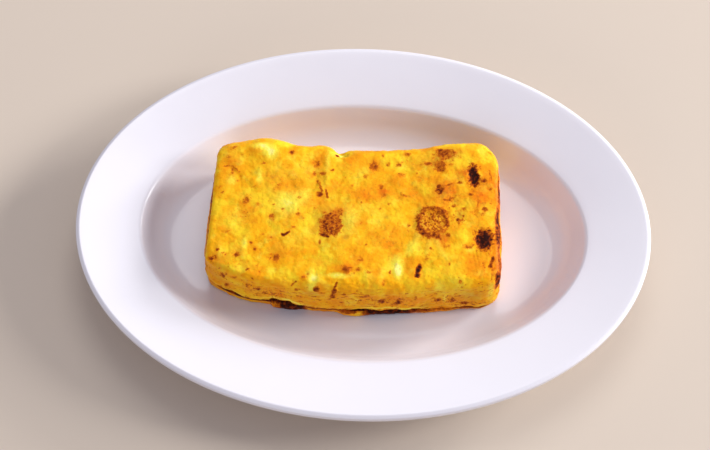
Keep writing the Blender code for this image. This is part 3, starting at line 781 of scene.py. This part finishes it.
def skin_fields(roll, skin):
    """Named masks over the skin from 0 to 1: how burnt, orange, pale, green and finely specked it is.
    The burnt mask also holds painted shade in the seam and creases, the pale one painted highlights.
    """
    places, top, front = skin.places, skin.on_top, skin.on_front

    def on_both(paint, top_marks, front_marks, **shape):
        """Marks painted on the top and on the front, the stronger where they overlap."""
        on_top = top * paint(skin.x, skin.y, top_marks, **shape)
        return np.maximum(on_top, front * paint(skin.x, skin.front_down, front_marks, **shape))

    dots = smooth_step(-0.10, 0.45, soft_noise(places, 1.15, 51) + 0.5 * soft_noise(places, 0.75, 52))
    flecks = smooth_step(0.15, 0.60, soft_noise(places, 1.3, 53) + 0.4 * soft_noise(places, 0.8, 54))

    top_marks = np.concatenate((TOP_SPOTS, *(random_marks(*area) for area in SCATTERED)))
    front_marks = np.concatenate((FRONT_SPOTS, random_marks(*FRONT_SCATTERED)))
    burn_and_shade = on_both(ovals, top_marks, front_marks, core=0.2, edge=2.2)
    burn_and_shade = np.maximum(burn_and_shade, on_both(strokes, TOP_STREAKS, FRONT_STREAKS))
    burn_and_shade = burn_and_shade * (0.92 + 0.30 * soft_noise(places, 1.6, 50))

    seared = top * bells(skin.x, skin.y, SEARED) + front * bells(skin.x, skin.front_down, FRONT_SEARED)
    burn_and_shade = np.maximum(burn_and_shade, seared * (0.85 + 0.5 * soft_noise(places, 2.4, 67)))

    patch = skin.from_middle(*PATCH) + 0.20 * soft_noise(places, 3.6, 56)
    burn_and_shade = np.maximum(burn_and_shade, top * 0.50 * smooth_step(1.35, 0.65, patch))
    burn_and_shade = np.maximum(burn_and_shade, top * 0.34 * ovals(skin.x, skin.y, PATCH_LOBE, core=0.5, edge=1.5))
    bits = ovals(skin.x, skin.y, PATCH_BITS + RING_BITS, core=0.2, edge=2.0)
    burn_and_shade = np.maximum(burn_and_shade, top * bits * (0.7 + 0.3 * dots))

    ring = skin.from_middle(*RING) + 0.12 * soft_noise(places, 5.0, 57)
    band = np.exp(-(((ring - 0.82) / 0.24) ** 2)) * (0.85 + 0.40 * soft_noise(places, 4.0, 58))
    burn_and_shade = np.maximum(burn_and_shade, top * 0.60 * band)
    burn_and_shade = np.maximum(burn_and_shade, top * 0.30 * smooth_step(1.1, 0.7, ring))

    char = np.zeros(burn_and_shade.shape)
    for x, y, half_x, half_y, turn in CHARRED:
        c, s = math.cos(math.radians(turn)), math.sin(math.radians(turn))
        side, along = skin.x - x, skin.y - y
        far = np.hypot((side * c + along * s) / half_x, (along * c - side * s) / half_y)
        char = np.maximum(char, top * 0.97 * smooth_step(1.30, 0.60, far + 0.30 * (0.5 - dots)))
        char = np.maximum(char, top * 0.38 * smooth_step(1.8, 0.9, far + 0.30 * (0.5 - dots)))
    burn_and_shade = np.maximum(burn_and_shade, char)

    streaked = places * (0.22, 1.0, 1.0)
    streaks = smooth_step(0.15, 0.75, soft_noise(streaked, 1.1, 59) + 0.5 * soft_noise(streaked, 0.7, 60))
    burn_and_shade = np.maximum(burn_and_shade, 0.40 * front * streaks * smooth_step(2, 9, skin.down))
    # Painted shade along the creases that the relief sinks in, patchy by noise.
    lines = 0.5 * creases(skin, 6.5, 47) + 0.4 * creases(skin, 3.4, 48)
    lines = lines * smooth_step(-0.2, 0.6, soft_noise(places, 8.0, 55))
    burn_and_shade = np.maximum(burn_and_shade, 0.26 * lines)

    back_marks = random_marks(61, 58, (-66, 60), (6, 34), (0.5, 2.8), (0.20, 0.66))
    on_back = smooth_step(3, 7, skin.over) * (1 - skin.under)
    burn_and_shade = np.maximum(burn_and_shade, on_back * ovals(skin.x, skin.over, back_marks))
    toasted = smooth_step(-0.25, 0.65, soft_noise(places, 13.0, 62) + 0.5 * soft_noise(places, 5.0, 63))
    burn_and_shade = np.maximum(burn_and_shade, skin.under * (0.18 + 0.42 * toasted + 0.22 * flecks * toasted))

    _, groove = end_spiral(roll, skin)
    left_line = smooth_step(22, 15, skin.flat_y) * smooth_step(-25, -16, skin.flat_y)
    ragged = soft_noise(places, 3.5, 68) + 0.7 * soft_noise(places, 1.6, 69)
    right_y = skin.places[..., 1] + 2.0 * ragged * smooth_step(0.8, 1.0, skin.round_share)
    none = np.zeros(burn_and_shade.shape)
    thin_line = ovals(none, right_y, ((0, 17, 1, 7, 1), (0, -19.5, 1, 5, 0.8)))
    thick_line = ovals(none, right_y, ((0, -3.6, 1, 9.4, 1), (0, -27.6, 1, 2.6, 1)))
    on_left = skin.across < 0
    rim_line = np.where(on_left, 0.74 * left_line, 0.94 * np.maximum(thick_line, 0.9 * thin_line))
    rim_starts = np.where(on_left, 0.52, 0.44 - 0.24 * thick_line)
    near_rim = smooth_step(rim_starts, rim_starts + 0.3, skin.round_share)
    near_rim = near_rim * smooth_step(0.32, 0.02, skin.face_share + 0.13 * ragged)
    near_rim = near_rim * smooth_step(0.55, 0.75, places[..., 2] / places[..., 2].max())
    blotches = smooth_step(-0.2, 0.5, soft_noise(places, 8.0, 64) + 0.5 * soft_noise(places, 3.0, 65))
    burn_and_shade = np.maximum(burn_and_shade, near_rim * rim_line * (0.75 + 0.25 * dots))
    burn_and_shade = np.maximum(burn_and_shade, skin.end_face * np.where(on_left, 0.14, 0.26) * (0.6 + blotches))
    burn_and_shade = np.maximum(burn_and_shade, 0.55 * groove)

    # The lowest layer's browning, near black where painted shade fills the seam's gap.
    at, brown = np.array(LAYER_BROWN_AND_SHADE).T
    burn_and_shade = np.maximum(burn_and_shade, skin.on_layer * np.interp(skin.across, at, brown) * (0.8 + 0.2 * dots))
    # Painted shade on the lowest layer just under the outer layer's edge.
    at, reach, dark = np.array(SEAM_PAINTED_SHADE).T
    line = smooth_step(0.5, -0.4, skin.below_lip - np.interp(skin.across, at, reach))
    burn_and_shade = np.maximum(burn_and_shade, skin.on_layer * line * np.interp(skin.across, at, dark))
    # Painted shade inside the seam's gap.
    burn_and_shade = np.where(skin.in_seam, np.maximum(burn_and_shade, 0.88), burn_and_shade)

    orange = on_both(bells, ORANGE_FIELDS, FRONT_ORANGE)
    uneven = 0.5 + 0.5 * soft_noise(places, 9.0, 66)
    orange = np.maximum(orange, 0.6 * smooth_step(5, 18, skin.over) * uneven)
    orange = np.maximum(orange, 0.5 * skin.end_face)
    orange = np.maximum(orange, 0.30 * front * smooth_step(0, 8, skin.down))
    halo = 0.9 * top * ovals(skin.x, skin.y, top_marks, core=0.3, edge=3.4)
    halo = np.maximum(halo, 0.9 * front * ovals(skin.x, skin.front_down, front_marks, core=0.3, edge=3.2))
    orange = np.maximum(orange, halo)
    # Pale: lemon patches and painted highlights.
    pale = on_both(bells, PALE_AND_HIGHLIGHT_FIELDS, FRONT_PALE_AND_HIGHLIGHT)
    pale = np.maximum(pale, top * strokes(skin.x, skin.y, PALE_AND_HIGHLIGHT_STREAKS))
    # Painted highlight along the outer layer's rolled edge.
    at, light = np.array(LIP_HIGHLIGHT).T
    pale = np.maximum(pale, lip(skin) * np.interp(skin.across, at, light))
    green = on_both(bells, GREEN_FIELDS, FRONT_GREEN)
    speckled = on_both(bells, SPECKLED, FRONT_SPECKLED)
    masks = {"burn_and_shade": burn_and_shade, "orange": orange, "pale": pale, "green": green, "speckled": speckled}
    return [(name, np.clip(values, 0, 1)) for name, values in masks.items()]


def feed(tree, node, inputs):
    """Gives a node's inputs, as (socket, value or link), their values and links."""
    for socket, value in inputs:
        if isinstance(value, bpy.types.NodeSocket):
            tree.links.new(value, node.inputs[socket])
        else:
            node.inputs[socket].default_value = value


def add_node(tree, kind, inputs=(), **settings):
    """A node with its settings, whose inputs are given as (socket, value or link)."""
    made = tree.nodes.new(kind)
    for setting, value in settings.items():
        setattr(made, setting, value)
    feed(tree, made, inputs)
    return made


def mix_colour(tree, factor, one, other):
    """The colour between one and the other, as far as factor says."""
    inputs = ((0, factor), (6, one), (7, other))
    return add_node(tree, "ShaderNodeMix", inputs, data_type="RGBA").outputs[2]


def math_node(tree, operation, *values):
    """The result of a Math node over values or links."""
    return add_node(tree, "ShaderNodeMath", tuple(enumerate(values)), operation=operation).outputs[0]


def step_node(tree, value, low, high, to_low=0.0, to_high=1.0):
    """Value mapped smoothly from low..high to to_low..to_high."""
    given = (value, low, high, to_low, to_high)
    inputs = tuple(zip(("Value", "From Min", "From Max", "To Min", "To Max"), given))
    return add_node(tree, "ShaderNodeMapRange", inputs, interpolation_type="SMOOTHSTEP").outputs[0]


def noise_node(tree, place, scale, detail, roughness=0.5):
    """The value of a Noise Texture node."""
    inputs = (("Vector", place), ("Scale", scale), ("Detail", detail), ("Roughness", roughness))
    return add_node(tree, "ShaderNodeTexNoise", inputs).outputs["Fac"]


def bump_to(tree, shader, height, strength, distance):
    """Roughens the surface's normal with a height."""
    inputs = (("Strength", strength), ("Distance", distance), ("Height", height))
    bump = add_node(tree, "ShaderNodeBump", inputs)
    tree.links.new(bump.outputs["Normal"], shader.inputs["Normal"])


def mottle_group():
    """Node group: noise with three finer sizes in it, as a mask from 0 to 1.

    Inputs are the place, the size of its patches in metres, how much of the surface they cover and how
    soft their edges are.
    """
    name = "mottle"
    if name in bpy.data.node_groups:
        return bpy.data.node_groups[name]
    group = bpy.data.node_groups.new(name, "ShaderNodeTree")
    group.interface.new_socket("Place", in_out="INPUT", socket_type="NodeSocketVector")
    for label in ("Size", "Cover", "Edge"):
        group.interface.new_socket(label, in_out="INPUT", socket_type="NodeSocketFloat")
    group.interface.new_socket("Mask", in_out="OUTPUT", socket_type="NodeSocketFloat")
    given = group.nodes.new("NodeGroupInput").outputs
    scale = math_node(group, "DIVIDE", 1.0, given["Size"])
    noise = noise_node(group, given["Place"], scale, 3.0, 0.55)
    level = math_node(group, "SUBTRACT", 1.0, given["Cover"])
    low = math_node(group, "SUBTRACT", level, given["Edge"])
    high = math_node(group, "ADD", level, given["Edge"])
    mask = step_node(group, noise, low, high)
    result = group.nodes.new("NodeGroupOutput")
    group.links.new(mask, result.inputs["Mask"])
    return group


def mottle(tree, place, size, cover, edge):
    """A mottle group placed in a material, giving its mask."""
    made = tree.nodes.new("ShaderNodeGroup")
    made.node_tree = mottle_group()
    feed(tree, made, (("Place", place), ("Size", size), ("Cover", cover), ("Edge", edge)))
    return made.outputs["Mask"]


def new_material(name):
    """A material, its node tree, its Principled BSDF and the surface's own coordinates."""
    material = bpy.data.materials.new(name)
    material.use_nodes = True
    tree = material.node_tree
    place = tree.nodes.new("ShaderNodeTexCoord").outputs["Object"]
    return material, tree, tree.nodes["Principled BSDF"], place


def with_alpha(tint):
    return (*tint, 1.0)


def glaze_material(plate):
    """Glossy white glaze with a breath of lilac, faintly uneven, and a dry clay edge under the foot ring."""
    material, tree, shader, place = new_material("white_glaze")
    height = add_node(tree, "ShaderNodeSeparateXYZ", (("Vector", place),)).outputs["Z"]
    bare = step_node(tree, height, 0.0007, 0.0003)
    shade = mottle(tree, place, 0.045, 0.5, 0.25)
    darker = with_alpha([value * 0.985 for value in plate.glaze])
    glaze = mix_colour(tree, shade, with_alpha(plate.glaze), darker)
    tree.links.new(mix_colour(tree, bare, glaze, with_alpha(plate.bare)), shader.inputs["Base Color"])
    film = mottle(tree, place, 0.012, 0.5, 0.3)
    rough = math_node(tree, "MULTIPLY_ADD", film, 0.05, 0.15)
    rough = math_node(tree, "MULTIPLY_ADD", bare, 0.55, rough)
    tree.links.new(rough, shader.inputs["Roughness"])
    bump_to(tree, shader, noise_node(tree, place, 55.0, 1.0), 0.5, 0.00012)
    shader.inputs["IOR"].default_value = 1.5
    return material


def egg_material(roll):
    """Cooked egg: golden skin with yellow, orange and pale patches and painted highlights, specked and burnt
    brown to black, with painted shade in its seam and creases.
    """
    material, tree, shader, place = new_material("browned_egg")

    def field(name):
        return add_node(tree, "ShaderNodeAttribute", attribute_name=name).outputs["Fac"]

    burn_and_shade, orange, pale, green, speckled = map(field, ("burn_and_shade", "orange", "pale", "green", "speckled"))
    fine = noise_node(tree, place, 1500.0, 2.0)
    fine_sway = math_node(tree, "SUBTRACT", fine, 0.5)

    broad = mottle(tree, place, 0.012, 0.47, 0.07)
    skin = mix_colour(tree, broad, with_alpha(roll.golden), with_alpha(roll.yellow))
    for size, cover, edge, strength, tint in (
        (0.0046, 0.46, 0.07, 0.50, roll.yellow),
        (0.0060, 0.38, 0.08, 0.40, roll.pale),
        (0.0075, 0.44, 0.08, 0.34, roll.orange),
    ):
        patches = mottle(tree, place, size, cover, edge)
        skin = mix_colour(tree, math_node(tree, "MULTIPLY", patches, strength), skin, with_alpha(tint))

    toast_noise = mottle(tree, place, 0.0022, 0.47, 0.16)
    toast = math_node(tree, "MULTIPLY_ADD", toast_noise, 0.40, 0.60)
    toast = math_node(tree, "MULTIPLY", toast, orange)
    speck_cover = math_node(tree, "MULTIPLY_ADD", orange, 0.13, 0.30)
    specks = mottle(tree, place, 0.0016, speck_cover, 0.05)
    speck_strength = math_node(tree, "MULTIPLY", orange, 0.90)
    toast = math_node(tree, "MAXIMUM", toast, math_node(tree, "MULTIPLY", specks, speck_strength))
    skin = mix_colour(tree, toast, skin, with_alpha(roll.orange))
    skin = mix_colour(tree, math_node(tree, "MULTIPLY", specks, 0.26), skin, with_alpha(roll.green))

    # The pale mask brings lemon patches and painted highlights, the brightest of them in cream.
    light = math_node(tree, "MULTIPLY_ADD", fine_sway, 0.5, pale)
    skin = mix_colour(tree, step_node(tree, light, 0.05, 0.80), skin, with_alpha(roll.pale))
    skin = mix_colour(tree, step_node(tree, light, 0.65, 1.25), skin, with_alpha(roll.cream))
    skin = mix_colour(tree, math_node(tree, "MULTIPLY", green, 0.75), skin, with_alpha(roll.green))

    dots = mottle(tree, place, 0.0013, 0.39, 0.04)
    patchy = math_node(tree, "MULTIPLY_ADD", noise_node(tree, place, 700.0, 2.0), 1.5, 0.25)
    # Burns and painted shade both darken the skin through the brown to black ramp.
    scorch_and_shade = math_node(tree, "MULTIPLY", patchy, burn_and_shade)
    scorch_and_shade = math_node(tree, "MULTIPLY_ADD", fine_sway, 0.34, scorch_and_shade)
    scorch_and_shade = math_node(tree, "MULTIPLY_ADD", dots, 0.16, scorch_and_shade)
    grains = mottle(tree, place, 0.0011, 0.46, 0.06)
    grains = math_node(tree, "MULTIPLY_ADD", grains, 0.44, -0.13)
    scorch_and_shade = math_node(tree, "MULTIPLY_ADD", grains, speckled, scorch_and_shade)
    ramp = add_node(tree, "ShaderNodeValToRGB", (("Fac", scorch_and_shade),))
    stops = (
        (0.18, (0.78, 0.20, 0.004)),
        (0.40, (0.50, 0.115, 0.003)),
        (0.62, (0.25, 0.036, 0.002)),
        (0.82, (0.090, 0.012, 0.003)),
        (1.0, (0.028, 0.006, 0.004)),
    )
    for position, _ in stops[1:-1]:
        ramp.color_ramp.elements.new(position)
    for element, (position, shade) in zip(ramp.color_ramp.elements, stops):
        element.position = position
        element.color = with_alpha(shade)
    skin = mix_colour(tree, step_node(tree, scorch_and_shade, 0.06, 0.42), skin, ramp.outputs["Color"])
    tree.links.new(skin, shader.inputs["Base Color"])

    rough = math_node(tree, "MULTIPLY_ADD", fine, 0.22, 0.34)
    rough = math_node(tree, "MULTIPLY_ADD", burn_and_shade, 0.25, rough)
    tree.links.new(rough, shader.inputs["Roughness"])
    bump_to(tree, shader, noise_node(tree, place, 900.0, 3.0, 0.6), 1.0, 0.00018)
    shader.inputs["Specular IOR Level"].default_value = 0.06
    shader.inputs["Subsurface Weight"].default_value = 0.10
    shader.inputs["Subsurface Radius"].default_value = (1.0, 0.45, 0.10)
    shader.inputs["Subsurface Scale"].default_value = 0.002
    return material


def plain_material(name, tint, roughness):
    """A stage surface of one colour."""
    material, _, shader, _ = new_material(name)
    shader.inputs["Base Color"].default_value = with_alpha(tint)
    shader.inputs["Roughness"].default_value = roughness
    return material


def soft_light(scene, name, azimuth, elevation, distance, size, power):
    """A round area light aimed at the origin, from an azimuth counted from +X towards +Y, in degrees."""
    turn, rise = math.radians(azimuth), math.radians(elevation)
    towards = Vector((math.cos(turn) * math.cos(rise), math.sin(turn) * math.cos(rise), math.sin(rise)))
    light = bpy.data.lights.new(name, "AREA")
    light.shape = "DISK"
    light.size = size
    light.energy = power
    lamp = bpy.data.objects.new(name, light)
    lamp.location = towards * distance
    lamp.rotation_mode = "QUATERNION"
    lamp.rotation_quaternion = towards.to_track_quat("Z", "Y")
    scene.collection.objects.link(lamp)


class OMELETTE_OT_plate(bpy.types.Operator):
    """Make the glazed oval plate"""

    bl_idname = "omelette.plate"
    bl_label = "Oval plate"

    def execute(self, context):
        plate = context.scene.omelette_plate
        grid, floor, under = plate_grid(plate)
        made = grid_object("oval_plate", grid, (0, 0, floor), (0, 0, under), glaze_material(plate))
        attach(made, "root")
        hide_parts("plate")
        return {"FINISHED"}


class OMELETTE_OT_roll(bpy.types.Operator):
    """Make the rolled omelette with its browned skin, its seam and its rolled ends"""

    bl_idname = "omelette.roll"
    bl_label = "Rolled omelette"

    def execute(self, context):
        roll = context.scene.omelette_roll
        grid, x, round_share, face_share = roll_grid(roll)
        skin = Skin(roll, grid, x, round_share, face_share)
        relief = skin_relief(roll, skin)
        grid = grid + outward_normals(grid) * relief[..., None] / TO_MM
        grid[..., 2] = np.maximum(grid[..., 2], ROLL_LOW.z)
        fields = skin_fields(roll, skin)
        made = grid_object(
            "omelette_roll", grid, grid[0].mean(axis=0), grid[-1].mean(axis=0), egg_material(roll), fields
        )
        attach(made, "root")
        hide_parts("rolled_omelette")
        return {"FINISHED"}


class OMELETTE_OT_studio(bpy.types.Operator):
    """Make the pale floor, the soft light and the camera"""

    bl_idname = "omelette.studio"
    bl_label = "Studio"

    def execute(self, context):
        studio = context.scene.omelette_studio
        scene = context.scene
        scene.view_settings.view_transform = "Standard"
        reach = 3.0
        corners = [(-reach, -reach, 0), (reach, -reach, 0), (reach, reach, 0), (-reach, reach, 0)]
        mesh = bpy.data.meshes.new("floor")
        mesh.from_pydata(corners, [], [(0, 1, 2, 3)])
        mesh.materials.append(plain_material("pale_floor", studio.floor, 0.7))
        floor = bpy.data.objects.new("floor", mesh)
        scene.collection.objects.link(floor)

        world = bpy.data.worlds.new("studio")
        world.use_nodes = True
        background = world.node_tree.nodes["Background"]
        background.inputs["Color"].default_value = (0.97, 0.95, 1.10, 1.0)
        background.inputs["Strength"].default_value = studio.fill_strength
        scene.world = world

        soft_light(scene, "key", 28, 16, 3.0, 0.9, studio.key_power)
        soft_light(scene, "side", 6, 26, 3.0, 0.9, studio.side_power)
        soft_light(scene, "overhead", 85, 58, 2.0, 1.2, studio.overhead_power)
        soft_light(scene, "front", 255, 20, 2.0, 1.2, studio.front_power)

        turn, rise = studio.camera_turn, studio.camera_rise
        back = Vector((math.sin(turn) * math.cos(rise), -math.cos(turn) * math.cos(rise), math.sin(rise)))
        right = Vector((0, 0, 1)).cross(back).normalized()
        aim = Vector((-0.0041, 0.0118, 0))
        camera = bpy.data.cameras.new("camera")
        camera.lens = studio.lens
        camera.sensor_width = 36.0
        camera.clip_start = 0.01
        holder = bpy.data.objects.new("camera", camera)
        axes = Matrix((right, back.cross(right), back)).transposed().to_4x4()
        holder.matrix_world = Matrix.Translation(aim + back * studio.camera_distance) @ axes
        scene.collection.objects.link(holder)
        scene.camera = holder
        return {"FINISHED"}


class OMELETTE_PT_panel(bpy.types.Panel):
    """Buttons and settings of the omelette"""

    bl_idname = "OMELETTE_PT_panel"
    bl_label = "Rolled omelette"
    bl_space_type = "VIEW_3D"
    bl_region_type = "UI"
    bl_category = "Omelette"

    def draw(self, context):
        for operator, group in (
            (OMELETTE_OT_plate, context.scene.omelette_plate),
            (OMELETTE_OT_roll, context.scene.omelette_roll),
            (OMELETTE_OT_studio, context.scene.omelette_studio),
        ):
            box = self.layout.box()
            box.operator(operator.bl_idname)
            for setting in group.__annotations__:
                box.prop(group, setting)


SETTINGS = (
    ("omelette_plate", PlateSettings),
    ("omelette_roll", OmeletteSettings),
    ("omelette_studio", StudioSettings),
)
OTHER_CLASSES = (OMELETTE_OT_plate, OMELETTE_OT_roll, OMELETTE_OT_studio, OMELETTE_PT_panel)


def register():
    for name, group in SETTINGS:
        bpy.utils.register_class(group)
        setattr(bpy.types.Scene, name, PointerProperty(type=group))
    for item in OTHER_CLASSES:
        bpy.utils.register_class(item)


def unregister():
    for item in reversed(OTHER_CLASSES):
        bpy.utils.unregister_class(item)
    for name, group in reversed(SETTINGS):
        delattr(bpy.types.Scene, name)
        bpy.utils.unregister_class(group)


def main():
    register()
    bpy.ops.omelette.plate()
    bpy.ops.omelette.roll()
    bpy.ops.omelette.studio()


if __name__ == "__main__":
    main()
